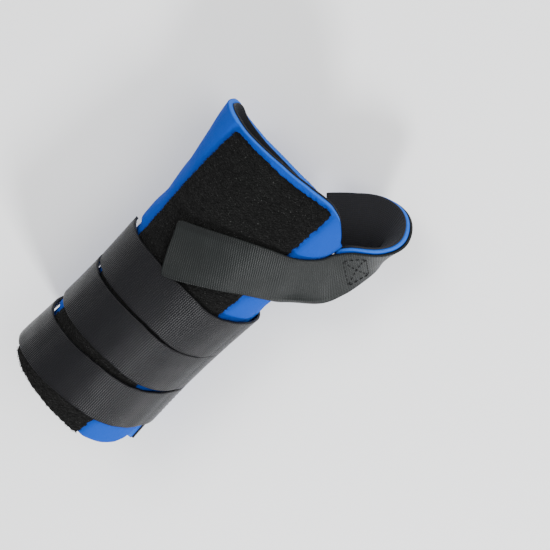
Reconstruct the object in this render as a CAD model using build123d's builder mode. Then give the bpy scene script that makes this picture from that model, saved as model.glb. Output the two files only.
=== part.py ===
"""Wrist splint for a left hand: a bent foam-laminate wrap with a lining, an aluminium palmar stay in a
pocket, a loop-pile patch on the back of the hand, three hook-ended straps and a thumb tongue with its strap.

Frame: +X towards the fingers, +Y towards the little finger, +Z towards the back of the hand. The splint
rests on the flat underside of its stay pocket at z = 0. All lengths are millimetres.
"""

from math import atan2, cos, degrees, hypot, radians, sin, sqrt
import os

from build123d import *

os.makedirs("parts", exist_ok=True)

# ---------------------------------------------------------------- driving dimensions
# distance along the arm, inner half breadth, inner half height, squareness of the section
STATIONS = [
    (-114, 34.6, 25.5, 2.20),
    (-90, 32.8, 25.4, 2.20),
    (-70, 31.7, 24.9, 2.20),
    (-50, 31.3, 24.0, 2.22),
    (-30, 31.6, 22.5, 2.25),
    (-15, 32.2, 21.3, 2.28),
    (-5, 32.7, 20.7, 2.30),
    (5, 33.3, 20.2, 2.34),
    (15, 34.0, 19.9, 2.38),
    (25, 34.8, 19.5, 2.42),
    (32, 35.4, 19.0, 2.46),
    (45, 37.0, 17.9, 2.52),
    (60, 39.0, 16.5, 2.58),
    (86, 42.0, 14.8, 2.60),
]
ORIGIN_SHIFT = 50.0  # the row origin lies this far behind the wrist crease, under the stay
BEND_START, BEND_END, BEND_ANGLE = -5.0, 32.0, 15.0  # wrist held in extension

LINING = 0.7  # knitted lining
FOAM_IN = 0.75  # inner face of the foam
WALL = 3.4  # outer face of the foam
PILE_IN, PILE_OUT = 3.45, 4.45  # loop-pile patch
STRAP_W = 25.4
STRAP_IN, STRAP_OUT = 5.5, 6.9  # free webbing
HOOK_IN, HOOK_OUT = 4.78, 5.48  # hook tab under the webbing's end
BASE_IN = 3.45  # folded, sewn webbing end
STITCH_IN, STITCH_OUT = 6.92, 7.2
SECTION_POINTS = 32
SECTION_SPACING = 10  # between the loft's sections

POCKET_DROP = 4.2  # pocket floor to the foam
PROX_END = -107.0
# each strap: name, distal edge at the thumb side, shift of that edge at the little-finger side,
# height of its free end above the widest line, corner radius
STRAPS = [
    ("wrist_strap", -8.6, -6.0, 1.0, 9.0),
    ("middle_strap", -34.6, -8.6, -4.0, 5.0),
    ("forearm_strap", -62.0, -16.5, -4.0, 5.0),
]
HINGE_DROP = 2.0  # sewn ends stop this far below the widest line
HINGE_GAP = 0.35
BASE_LENGTH = 15.0
HOOK_LENGTH = 30.0

STAY_W, STAY_T = 24.0, 2.0
STAY_FROM, STAY_TO = -90.0, 38.0

SLIT_LOW, SLIT_HIGH = 1.0, 5.0  # slit edges above the widest line


# ---------------------------------------------------------------- form of the limb
def value(s, col):
    """Smooth value of one column of STATIONS at s."""
    i = 0
    while i < len(STATIONS) - 2 and s > STATIONS[i + 1][0]:
        i += 1

    def slope(j):
        lo, hi = max(j - 1, 0), min(j + 1, len(STATIONS) - 1)
        return (STATIONS[hi][col] - STATIONS[lo][col]) / (STATIONS[hi][0] - STATIONS[lo][0])

    p, q = STATIONS[i], STATIONS[i + 1]
    h = q[0] - p[0]
    t = (s - p[0]) / h
    return (
        (2 * t**3 - 3 * t**2 + 1) * p[col]
        + (t**3 - 2 * t**2 + t) * h * slope(i)
        + (-2 * t**3 + 3 * t**2) * q[col]
        + (t**3 - t**2) * h * slope(i + 1)
    )


def spine(s):
    """Position along the row's X, rise and tilt of the palm line at s."""
    full = radians(BEND_ANGLE)
    r = (BEND_END - BEND_START) / full
    al = min(max((s - BEND_START) / r, 0.0), full)
    past = max(s - BEND_END, 0.0)
    x = min(s, BEND_START) + r * sin(al) + past * cos(full)
    z = r * (1 - cos(al)) + past * sin(full)
    return x + ORIGIN_SHIFT, z, al


def centre(s):
    """Height of the widest line at s."""
    return POCKET_DROP + WALL + value(s, 2) + spine(s)[1]


def outline(s, off, angle):
    """Point of the section outline at s: breadth and height about its centre."""
    n = value(s, 3)
    c, w = cos(radians(angle)), sin(radians(angle))
    u = (value(s, 1) + off) * abs(c) ** (2 / n) * (1 if c >= 0 else -1)
    v = (value(s, 2) + off) * abs(w) ** (2 / n) * (1 if w >= 0 else -1)
    return u, v


def on_form(s, angle, off):
    """Point in the row frame at s, at an angle round the limb, off the skin."""
    u, v = outline(s, off, angle)
    x, _, al = spine(s)
    return Vector(x - sin(al) * v, u, centre(s) + cos(al) * v)


def top_of(x, y, off):
    """Height of the form's upper side above (x, y)."""
    lo, hi = STATIONS[0][0], STATIONS[-1][0]
    for _ in range(40):
        s = (lo + hi) / 2
        n, a = value(s, 3), value(s, 1) + off
        v = (value(s, 2) + off) * max(1 - (abs(y) / a) ** n, 0.0) ** (1 / n)
        px, _, al = spine(s)
        if px - sin(al) * v < x:
            lo = s
        else:
            hi = s
    return centre(s) + cos(al) * v


def limb(off):
    """Solid bounded by the form at one distance off the skin; the deeper ones are a little longer."""
    spare = (8 - off) / 2
    first, last = STATIONS[0][0], STATIONS[-1][0]
    reach = [first - spare, *range(first + SECTION_SPACING, last, SECTION_SPACING), last + spare]
    step = 360 / SECTION_POINTS
    knots = [k / SECTION_POINTS for k in range(SECTION_POINTS + 1)]
    with BuildPart() as p:
        for s in reach:
            x, _, al = spine(s)
            plane = Plane(origin=(x, 0, centre(s)), x_dir=(0, 1, 0), z_dir=(cos(al), 0, sin(al)))
            with BuildSketch(plane):
                with BuildLine():
                    pts = [Vector(*outline(s, off, 270 + k * step)) for k in range(SECTION_POINTS)]
                    add(Edge.make_spline(pts, periodic=True, parameters=knots))
                make_face()
        loft()
    return p.part


# ---------------------------------------------------------------- outlines of the wrap
def side_sketch(lines, y0, y1):
    """Prism between y0 and y1 from a side-view outline of lines and splines."""
    with BuildPart() as p:
        with BuildSketch(Plane.XZ.offset(-y0)):
            with BuildLine():
                for kind, pts in lines:
                    if kind == "spline":
                        Spline(*pts)
                    else:
                        Polyline(*pts)
            make_face()
        extrude(amount=-(y1 - y0))
    return p.part


def plan_sketch(lines, z0, z1):
    """Prism between z0 and z1 from a plan outline."""
    with BuildPart() as p:
        with BuildSketch(Plane.XY.offset(z0)):
            with BuildLine():
                for kind, pts in lines:
                    if kind == "spline":
                        Spline(*pts)
                    else:
                        Polyline(*pts)
            make_face()
        extrude(amount=z1 - z0)
    return p.part


def shifted(pts):
    return [(x + ORIGIN_SHIFT, z) for x, z in pts]


# thumb-side slit, its two rounded corners at the forearm end, and the thumb opening
low = [(s, centre(s) + SLIT_LOW) for s in (-95, -70, -45, -20)]
high = [(s, centre(s) + SLIT_HIGH) for s in (-90, -60, -30, 0, 20, 40, 62)]
zp = centre(PROX_END)
lower_edge = shifted([(PROX_END, zp - 10), (PROX_END + 3, zp - 3), *low, (-9, centre(-9) - 3), (2, 20), (16, 16), (30, 16.5), (41, 19)])
upper_edge = shifted([(PROX_END, zp + 19), (PROX_END + 5, zp + 9), *high])
x_far = 125 + ORIGIN_SHIFT
radial_cut = side_sketch(
    [
        ("spline", lower_edge),
        ("line", [lower_edge[-1], (x_far, lower_edge[-1][1]), (x_far, upper_edge[-1][1]), upper_edge[-1]]),
        ("spline", upper_edge),
        ("line", [upper_edge[0], (-120 + ORIGIN_SHIFT, upper_edge[0][1]), (-120 + ORIGIN_SHIFT, lower_edge[0][1]), lower_edge[0]]),
    ],
    -80,
    -8,
)

# finger end of the dorsal flap, of the little-finger wall and of the palm panel with its tongue seam
dorsal_edge = shifted([(65, 50), (64, 38), (63.5, 26), (65, 8), (68, -12), (69.5, -26), (66, -35), (58, -40.5), (50, -46), (42, -60)])
dorsal_cut = plan_sketch(
    [("spline", dorsal_edge), ("line", [dorsal_edge[-1], (x_far, dorsal_edge[-1][1]), (x_far, dorsal_edge[0][1]), dorsal_edge[0]])], 34, 90
)
ulnar_edge = shifted([(64.4, 34.2), (62.5, 28), (58.5, 21), (55, 14), (54.5, -5)])
ulnar_cut = side_sketch(
    [("spline", ulnar_edge), ("line", [ulnar_edge[-1], (x_far, -5), (x_far, 34.2), ulnar_edge[0]])], -4, 80
)
SEAM = [Vector(56.5 + ORIGIN_SHIFT, -17), Vector(40 + ORIGIN_SHIFT, -35)]
palm_edge = [(54.4 + ORIGIN_SHIFT, 6), (54.8 + ORIGIN_SHIFT, -8), tuple(SEAM[0])[:2]]
far_seam = SEAM[0] + (SEAM[1] - SEAM[0]) * 2
palm_cut = plan_sketch(
    [("line", [*palm_edge, tuple(far_seam)[:2], (x_far, far_seam.Y), (x_far, 6), palm_edge[0]])], -5, 27
)
with BuildPart() as forearm_cut:
    with Locations((PROX_END + ORIGIN_SHIFT - 20, 0, 30)):
        Box(40, 120, 120)
with BuildPart() as finger_cut:
    with Locations((72 + ORIGIN_SHIFT + 40, 0, 30)):
        Box(80, 160, 160)
CUTS = [finger_cut.part, forearm_cut.part, dorsal_cut, ulnar_cut, palm_cut, radial_cut]

OFFSETS = (0.0, LINING, FOAM_IN, WALL, PILE_IN, PILE_OUT, HOOK_IN, HOOK_OUT, STRAP_IN, STRAP_OUT, STITCH_IN, STITCH_OUT)
LIMB = {off: limb(off) for off in OFFSETS}


def finish(builder, name):
    """Label a part and write it out."""
    builder.part.label = name
    export_step(builder.part, f"parts/{name}.step")
    print(name, len(builder.part.solids()), round(builder.part.volume))


# ---------------------------------------------------------------- wrap
for name, inner, outer in (("wrap_shell", FOAM_IN, WALL), ("wrap_lining", 0.0, LINING)):
    with BuildPart() as layer:
        add(LIMB[outer])
        for cut in CUTS:
            add(cut, mode=Mode.SUBTRACT)
        add(LIMB[inner], mode=Mode.SUBTRACT)
    finish(layer, name)

# ---------------------------------------------------------------- loop-pile patch
pile_side = shifted([(-105.5, 34), (-85, 32), (-60, 30.5), (-15, 29.5), (20, 31), (58, 35)])
pile_thumb = shifted([(65, -29), (40, -28), (2, -26.5), (-30, -24), (-66, -22.5), (-105.5, -18.5)])
pile_end = shifted([(58, 35), (61.5, 26), (62.8, 8), (65.8, -12), (67.0, -24), (65, -29)])
pile_area = plan_sketch(
    [("spline", pile_side), ("spline", pile_end), ("spline", pile_thumb), ("line", [pile_thumb[-1], pile_side[0]])], 30, 90
)
with BuildPart() as pile:
    add(LIMB[PILE_OUT])
    add(pile_area, mode=Mode.INTERSECT)
    add(LIMB[PILE_IN], mode=Mode.SUBTRACT)
finish(pile, "dorsal_pile_patch")


# ---------------------------------------------------------------- palmar stay and its pocket
def bar(profile, s_from, s_to):
    """Loft a cross-section profile (breadth, height) along the palm line."""
    between = [s for s in (BEND_START - 12, BEND_START, 4, 13, 22, BEND_END) if s_from < s < s_to]
    with BuildPart() as p:
        for s in [s_from, *between, s_to]:
            x, z, al = spine(s)
            plane = Plane(origin=(x, 0, z), x_dir=(0, 1, 0), z_dir=(cos(al), 0, sin(al)))
            with BuildSketch(plane):
                with BuildLine():
                    Polyline(*profile, close=True)
                make_face()
        loft(ruled=True)
    return p.part


half = STAY_W / 2
with BuildPart() as stay:
    add(bar([(-half, 1.25), (half, 1.25), (half, 1.25 + STAY_T), (-half, 1.25 + STAY_T)], STAY_FROM, STAY_TO))
    fillet(stay.edges().filter_by(Axis.Z).group_by(Axis.X)[0], 8)
finish(stay, "palmar_stay")

with BuildPart() as pocket:
    add(bar([(-16, 0), (16, 0), (19, 1.6), (20, 9), (-20, 9), (-19, 1.6)], STAY_FROM - 4, STAY_TO + 4))
    add(LIMB[PILE_IN], mode=Mode.SUBTRACT)
    add(bar([(-13, 1.2), (13, 1.2), (13, 12), (-13, 12)], STAY_FROM - 1, STAY_TO + 1), mode=Mode.SUBTRACT)
finish(pocket, "stay_pocket")


# ---------------------------------------------------------------- straps round the limb
def strap_area(distal, shift, width=STRAP_W):
    """Slanted band across the limb, in plan."""
    run = 74.0
    spread = width * hypot(1, shift / run)
    a, b = distal + ORIGIN_SHIFT, distal + shift + ORIGIN_SHIFT
    pts = [(a, -37), (b, 37), (b + shift / run * 20, 57), (b + shift / run * 20 - spread, 57), (b - spread, 37), (a - spread, -37)]
    pts += [(a - spread - shift / run * -20, -57), (a - shift / run * 20, -57)]
    return plan_sketch([("line", [*pts, pts[0]])], -5, 95)


def hinge_line(distal):
    """Two points on the outer face of a strap's sewn end, where it folds."""
    ends = []
    for s in (distal - STRAP_W, distal):
        # angle at which the outer face lies HINGE_DROP below the widest line
        n = value(s, 3)
        v = (HINGE_DROP / (value(s, 2) + STRAP_OUT)) ** n
        y = -(value(s, 1) + STRAP_OUT) * (1 - v) ** (1 / n)
        ends.append(Vector(s + ORIGIN_SHIFT, y, centre(s) - HINGE_DROP))
    return ends


for name, distal, shift, end_height, corner in STRAPS:
    area = strap_area(distal, shift)
    p0, p1 = hinge_line(distal)
    slope = (p1.Z - p0.Z) / (p1.X - p0.X)
    zmid = (p0.Z + p1.Z) / 2
    print(name, "hinge", tuple(p0), tuple(p1))

    def band(z_low, z_high, y0, y1):
        """Prism between two lines parallel to the fold, low and high of it."""
        x0, x1 = p0.X - 30, p1.X + 30
        za, zb = p0.Z - 30 * slope, p1.Z + 30 * slope
        return side_sketch(
            [("line", [(x0, za + z_low), (x1, zb + z_low), (x1, zb + z_high), (x0, za + z_high), (x0, za + z_low)])], y0, y1
        )

    with BuildPart() as base:
        add(LIMB[STRAP_OUT])
        add(area, mode=Mode.INTERSECT)
        add(band(-BASE_LENGTH, -HINGE_GAP, -80, -5), mode=Mode.INTERSECT)
        add(LIMB[BASE_IN], mode=Mode.SUBTRACT)
    finish(base, f"{name}_base")

    with BuildPart() as pattern:
        mid_x = (p0.X + p1.X) / 2
        mid_z = zmid - BASE_LENGTH / 2
        tilt = degrees(atan2(slope, 1))
        with BuildSketch(Plane.XZ.offset(5)):
            with Locations(Location((mid_x, mid_z, 0), (0, 0, tilt))):
                Rectangle(STRAP_W - 7, BASE_LENGTH - 5)
                Rectangle(STRAP_W - 8.6, BASE_LENGTH - 6.6, mode=Mode.SUBTRACT)
            turn = degrees(atan2(BASE_LENGTH - 6, STRAP_W - 8))
            for sign in (-1, 1):
                with Locations(Location((mid_x, mid_z, 0), (0, 0, tilt + sign * turn))):
                    Rectangle(hypot(STRAP_W - 8, BASE_LENGTH - 6), 0.8)
        extrude(amount=75)
    with BuildPart() as stitch:
        add(LIMB[STITCH_OUT])
        add(band(-BASE_LENGTH, -HINGE_GAP, -80, -5), mode=Mode.INTERSECT)
        add(area, mode=Mode.INTERSECT)
        add(LIMB[STITCH_IN], mode=Mode.SUBTRACT)
        add(pattern.part, mode=Mode.INTERSECT)
    finish(stitch, f"{name}_stitch")

    # free end: a tongue with rounded corners reaching past the widest line on the far side
    s_end = distal + shift - STRAP_W / 2
    z_end = centre(s_end) + end_height
    far_x = s_end + ORIGIN_SHIFT
    with BuildPart() as far_zone:
        with BuildSketch(Plane.XZ):
            with Locations((far_x, z_end + 50)):
                RectangleRounded(STRAP_W + 0.3 + abs(shift) * 0.05, 100, corner)
        extrude(amount=-80)
        with BuildSketch(Plane.XZ.offset(0)):
            with Locations((far_x, 70)):
                Rectangle(120, 60)
        extrude(amount=-36)
    with BuildPart() as far_end:
        add(far_zone.part)
        add(band(HINGE_GAP, 80, -80, 0.0))
    with BuildPart() as free:
        add(LIMB[STRAP_OUT])
        add(area, mode=Mode.INTERSECT)
        add(far_end.part, mode=Mode.INTERSECT)
        add(LIMB[STRAP_IN], mode=Mode.SUBTRACT)
    finish(free, name)

    with BuildPart() as hook:
        add(LIMB[HOOK_OUT])
        add(strap_area(distal - 1.2, shift, STRAP_W - 2.4), mode=Mode.INTERSECT)
        with BuildSketch(Plane.XZ):
            with Locations((far_x, z_end + 1.5 + 50)):
                RectangleRounded(STRAP_W - 2.1 + abs(shift) * 0.05, 100, corner - 1)
        extrude(amount=-80, mode=Mode.INTERSECT)
        with BuildSketch(Plane.XY):
            with Locations((far_x, 50)):
                Rectangle(80, 68)
        extrude(amount=100, mode=Mode.INTERSECT)
        add(LIMB[HOOK_IN], mode=Mode.SUBTRACT)
    finish(hook, f"{name}_hook")


# ---------------------------------------------------------------- thumb tongue and its strap
# path of the webbing's underside from its free end round to the seam in the palm: x, y, height (or
# None where it lies over the back of the hand) and the outward direction
THUMB_PATH = [
    (-4.0, 13.0, None, (0.0, 0.0, 1.0)),
    (6.0, -3.0, None, (0.0, 0.0, 1.0)),
    (16.0, -19.0, None, (0.0, -0.12, 1.0)),
    (26.5, -35.5, None, (-0.05, -0.62, 0.78)),
    (38.0, -50.5, 40.5, (0.0, -0.88, 0.50)),
    (50.5, -57.0, 33.5, (0.0, -1.0, 0.18)),
    (62.0, -59.5, 27.0, (0.0, -1.0, -0.12)),
    (70.0, -55.5, 20.0, (0.25, -0.78, -0.60)),
    (68.0, -46.0, 15.2, (0.25, -0.45, -0.85)),
    (59.5, -36.5, 14.4, (0.2, -0.35, -0.92)),
    (49.8, -27.6, 16.6, (0.2, -0.48, -0.86)),
]
OVER_PILE = 5.65  # webbing's underside off the skin, over its hook tab
OVER_WRIST_STRAP = 7.35
THUMB_HALF_W, TONGUE_HALF_W = 12.7, 13.2
THUMB_FOLD = 4.36  # place along the path of the strap's fold, at the tongue's tip
TONGUE_T = 2.65


def along(p):
    """Centre and outward direction on the thumb path at place p."""
    i = min(max(int(p), 0), len(THUMB_PATH) - 2)
    t = p - i
    rows = [THUMB_PATH[min(max(j, 0), len(THUMB_PATH) - 1)] for j in (i - 1, i, i + 1, i + 2)]
    cols = []
    for k in range(3):
        q = []
        for x, y, z, n in rows:
            lift = OVER_PILE if z is None else 0
            q.append((x + ORIGIN_SHIFT, y, top_of(x + ORIGIN_SHIFT, y, lift) if z is None else z)[k])
        cols.append(q)
    for k in range(3):
        cols.append([row[3][k] for row in rows])
    out = []
    for q0, q1, q2, q3 in cols:
        out.append(0.5 * (2 * q1 + (q2 - q0) * t + (2 * q0 - 5 * q1 + 4 * q2 - q3) * t**2 + (3 * q1 - q0 - 3 * q2 + q3) * t**3))
    return Vector(*out[:3]), Vector(*out[3:]).normalized()


def frame_at(p):
    """Centre, width direction, outward direction and travel direction at place p."""
    c, n = along(p)
    t = (along(min(p + 0.05, 10.0))[0] - along(max(p - 0.05, 0.0))[0]).normalized()
    n = (n - t * n.dot(t)).normalized()
    return c, t.cross(n), n, t


def crown(p, u):
    """Height of the underside over its flat section, to follow the back of the hand."""
    fade = min(max(4 - p, 0.0), 1.0)
    if fade == 0:
        return 0.0
    c, w, n, _ = frame_at(min(p, 3.0))
    near = min(max((2.2 - p) / 1.4, 0.0), 1.0)
    off = OVER_PILE + (OVER_WRIST_STRAP - OVER_PILE) * near * min(max(0.5 + u / THUMB_HALF_W, 0.0), 1.0)
    h = 0.0
    for _ in range(12):
        q = c + w * u + n * h
        h += (top_of(q.X, q.Y, off) - q.Z) * n.Z
    return h * fade


def ribbon(places, low, high, half=THUMB_HALF_W, mid=0.0, end_radius=0.0):
    """Strip along the thumb path between two depths off the webbing's underside."""
    with BuildPart() as p:
        start = along(places[-1])[0]
        for place in places:
            c, w, n, t = frame_at(place)
            w_half = half(place) if callable(half) else half
            w_mid = mid(place) if callable(mid) else mid
            if end_radius:
                d = min((c - start).length, end_radius)
                w_half += sqrt(end_radius**2 - (end_radius - d) ** 2) - end_radius
            us = [w_mid + w_half * k / 2 for k in (-2, -1, 0, 1, 2)]
            under = [(u, crown(place, u) + low) for u in us]
            over = [(u, crown(place, u) + high) for u in us]
            with BuildSketch(Plane(origin=c, x_dir=w, z_dir=w.cross(n))):
                with BuildLine():
                    Spline(*under)
                    Line(under[-1], over[-1])
                    Spline(*over[::-1])
                    Line(over[0], under[0])
                make_face()
        loft()
    return p.part


def steps(start, stop, count):
    return [start + (stop - start) * k / count for k in range(count + 1)]


tongue_run = steps(10.0, THUMB_FOLD + 0.02, 15)
fold = along(THUMB_FOLD)
for name, low, high in (("thumb_tongue_lining", -0.25 - TONGUE_T - LINING, -0.25 - TONGUE_T), ("thumb_tongue_shell", -0.15 - TONGUE_T, -0.15)):
    with BuildPart() as tongue:
        add(ribbon(tongue_run, low, high, TONGUE_HALF_W))
    finish(tongue, name)

with BuildPart() as thumb_base:
    add(ribbon(steps(8.7, THUMB_FOLD + 0.03, 12), 0.0, STRAP_OUT - STRAP_IN))
finish(thumb_base, "thumb_strap_base")

webbing = STRAP_OUT - STRAP_IN
box_from, box_to, box_half = 5.75, 4.6, 9.0
with BuildPart() as thumb_stitch:
    for u in (-box_half, box_half):
        add(ribbon(steps(box_from, box_to, 4), webbing + 0.12, webbing + 0.42, 0.4, u))
    for place in (box_from, box_to):
        add(ribbon([place + 0.03, place - 0.03], webbing + 0.12, webbing + 0.42, box_half))
    for sign in (-1, 1):
        slant = lambda place: sign * box_half * (2 * (place - box_to) / (box_from - box_to) - 1)
        add(ribbon(steps(box_from, box_to, 4), webbing + 0.12, webbing + 0.38, 0.5, slant))
finish(thumb_stitch, "thumb_box_stitch")

with BuildPart() as thumb_strap:
    places = [*steps(THUMB_FOLD - 0.03, 0.4, 12), 0.2, 0.12, 0.06, 0.02, 0.0]
    add(ribbon(places, 0.0, webbing, end_radius=4.0))
finish(thumb_strap, "thumb_strap")

with BuildPart() as thumb_hook:
    add(ribbon(steps(1.55, 0.1, 5), -0.85, -0.25, 9.0, -2.5))
finish(thumb_hook, "thumb_strap_hook")
c, w, n, t = frame_at(THUMB_FOLD)
print("thumb hinge", tuple(c + n * webbing), tuple(w * -1))
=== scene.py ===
from math import cos, pi, radians, sin

import bpy
import numpy as np
from mathutils import Matrix, Vector


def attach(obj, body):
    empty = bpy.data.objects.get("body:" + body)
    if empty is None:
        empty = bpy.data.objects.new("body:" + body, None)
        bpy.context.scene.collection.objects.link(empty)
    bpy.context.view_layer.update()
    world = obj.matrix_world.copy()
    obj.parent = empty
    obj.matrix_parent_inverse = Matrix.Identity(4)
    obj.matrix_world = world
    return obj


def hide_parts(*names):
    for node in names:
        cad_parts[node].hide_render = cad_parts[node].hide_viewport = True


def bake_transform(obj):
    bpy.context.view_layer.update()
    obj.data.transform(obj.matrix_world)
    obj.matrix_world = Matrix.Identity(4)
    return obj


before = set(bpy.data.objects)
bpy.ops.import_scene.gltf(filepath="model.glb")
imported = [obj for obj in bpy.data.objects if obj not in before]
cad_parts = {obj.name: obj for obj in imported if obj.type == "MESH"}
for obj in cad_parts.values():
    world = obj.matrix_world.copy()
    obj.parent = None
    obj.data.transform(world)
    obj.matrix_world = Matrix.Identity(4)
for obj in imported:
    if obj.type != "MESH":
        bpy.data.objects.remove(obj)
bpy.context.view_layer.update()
rng = np.random.default_rng(7)

# ---------------------------------------------------------------- the limb's form, in millimetres
STATIONS = np.array([
    (-114, 34.6, 25.5, 2.20), (-90, 32.8, 25.4, 2.20), (-70, 31.7, 24.9, 2.20), (-50, 31.3, 24.0, 2.22),
    (-30, 31.6, 22.5, 2.25), (-15, 32.2, 21.3, 2.28), (-5, 32.7, 20.7, 2.30), (5, 33.3, 20.2, 2.34),
    (15, 34.0, 19.9, 2.38), (25, 34.8, 19.5, 2.42), (32, 35.4, 19.0, 2.46), (45, 37.0, 17.9, 2.52),
    (60, 39.0, 16.5, 2.58), (86, 42.0, 14.8, 2.60)])
SHIFT, BEND_START, BEND_END, BEND = 50.0, -5.0, 32.0, radians(15)
WALL, POCKET_DROP, PROX_END = 3.4, 4.2, -107.0
# each strap: place of its finger-side edge and its slant over the limb
STRAPS = {
    "wrist_strap": (-8.6, -6.0),
    "middle_strap": (-34.6, -8.6),
    "forearm_strap": (-62.0, -16.5),
}
STRAP_W, WEB = 25.4, 1.4  # webbing width and thickness
HALF_W = STRAP_W / 2
SLANT_FROM, SLANT_OVER = 37, 74  # a strap's slant is counted from this breadth, over this much of it


def value(s, col):
    """Smooth value of one column of STATIONS at s."""
    s = np.asarray(s, float)
    k, v = STATIONS[:, 0], STATIONS[:, col]
    m = np.empty(len(k))
    m[1:-1] = (v[2:] - v[:-2]) / (k[2:] - k[:-2])
    m[0], m[-1] = (v[1] - v[0]) / (k[1] - k[0]), (v[-1] - v[-2]) / (k[-1] - k[-2])
    i = np.clip(np.searchsorted(k, s, side="right") - 1, 0, len(k) - 2)
    h = k[i + 1] - k[i]
    t = (s - k[i]) / h
    return ((2 * t**3 - 3 * t**2 + 1) * v[i] + (t**3 - 2 * t**2 + t) * h * m[i]
            + (-2 * t**3 + 3 * t**2) * v[i + 1] + (t**3 - t**2) * h * m[i + 1])


def spine(s):
    """Place along, height and slope of the limb's middle line, which bends at the wrist."""
    s = np.asarray(s, float)
    r = (BEND_END - BEND_START) / BEND
    al = np.clip((s - BEND_START) / r, 0, BEND)
    past = np.maximum(s - BEND_END, 0)
    x = np.minimum(s, BEND_START) + r * np.sin(al) + past * cos(BEND) + SHIFT
    return x, r * (1 - np.cos(al)) + past * sin(BEND), al


def centre(s):
    """Height of the limb's middle above the ground."""
    return POCKET_DROP + WALL + value(s, 2) + spine(s)[1]


def on_form(s, phi, off):
    """Points at s, at an angle round the limb, off the skin."""
    s, phi, off = np.broadcast_arrays(*(np.asarray(q, float) for q in (s, phi, off)))
    phi = np.radians(phi)
    n = value(s, 3)
    c, w = np.cos(phi), np.sin(phi)
    u = (value(s, 1) + off) * np.sign(c) * np.abs(c) ** (2 / n)
    v = (value(s, 2) + off) * np.sign(w) * np.abs(w) ** (2 / n)
    x, _, al = spine(s)
    return np.stack([x - np.sin(al) * v, u, centre(s) + np.cos(al) * v], -1)


def top_of(x, y, off):
    """Height of the form's upper side above (x, y)."""
    x, y, off = np.broadcast_arrays(np.asarray(x, float), np.asarray(y, float), np.asarray(off, float))
    lo, hi = np.full(x.shape, STATIONS[0, 0]), np.full(x.shape, STATIONS[-1, 0])
    for _ in range(26):
        s = (lo + hi) / 2
        n, a = value(s, 3), value(s, 1) + off
        v = (value(s, 2) + off) * np.maximum(1 - (np.abs(y) / a) ** n, 0) ** (1 / n)
        px, _, al = spine(s)
        low = px - np.sin(al) * v < x
        lo, hi = np.where(low, s, lo), np.where(low, hi, s)
    return centre(s) + np.cos(al) * v


def angle_of_height(s, h, off):
    """Angle above the widest line, in degrees, at which the surface is h over it."""
    n = value(s, 3)
    return np.degrees(np.arcsin(np.clip(np.abs(h) / (value(s, 2) + off), 0, 1) ** (n / 2))) * np.sign(h)


def angle_of_breadth(s, y, off):
    """Angle, in degrees, at which the surface is y to the side."""
    share = np.clip(np.abs(y) / (value(s, 1) + off), 0, 1)
    return np.degrees(np.arccos(np.clip(np.sign(y) * share ** (value(s, 3) / 2), -1, 1)))


def smooth(t):
    t = np.clip(t, 0, 1)
    return t * t * (3 - 2 * t)


def soft(x, table):
    """Smooth curve through a table of (x, y) pairs."""
    k, v = np.array(table, float).T
    m = np.gradient(v, k)
    i = np.clip(np.searchsorted(k, x, side="right") - 1, 0, len(k) - 2)
    h = k[i + 1] - k[i]
    t = np.clip((x - k[i]) / h, 0, 1)
    return ((2 * t**3 - 3 * t**2 + 1) * v[i] + (t**3 - 2 * t**2 + t) * h * m[i]
            + (-2 * t**3 + 3 * t**2) * v[i + 1] + (t**3 - t**2) * h * m[i + 1])


def ripple(a, b, size, seed):
    """Smooth repeatable unevenness of unit size, from a few crossing waves."""
    r = np.random.default_rng(seed)
    out = 0
    for _ in range(7):
        d, ph, f = r.uniform(0, 2 * pi), r.uniform(0, 2 * pi), r.uniform(0.5, 1.6) / size
        out = out + np.sin(2 * pi * f * (a * cos(d) + b * sin(d)) + ph)
    return out / 4


# ---------------------------------------------------------------- mesh makers
def make(name, verts, faces, uv=None, rim=None, slot=None):
    """Smooth mesh object from points in millimetres."""
    me = bpy.data.meshes.new(name)
    me.from_pydata((np.asarray(verts) / 1000).tolist(), [], faces)
    me.validate()
    idx = np.zeros(len(me.loops), int)
    me.loops.foreach_get("vertex_index", idx)
    if uv is not None:
        layer = me.uv_layers.new(name="UVMap")
        layer.data.foreach_set("uv", np.asarray(uv)[idx].astype(np.float32).ravel())
    if rim is not None:
        layer = me.attributes.new("rim", "FLOAT", "POINT")
        layer.data.foreach_set("value", np.asarray(rim, np.float32))
    me.polygons.foreach_set("use_smooth", [True] * len(me.polygons))
    o = bpy.data.objects.new(name, me)
    bpy.context.scene.collection.objects.link(o)
    if slot:
        me.materials.append(LOOK[slot])
    return o


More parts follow.
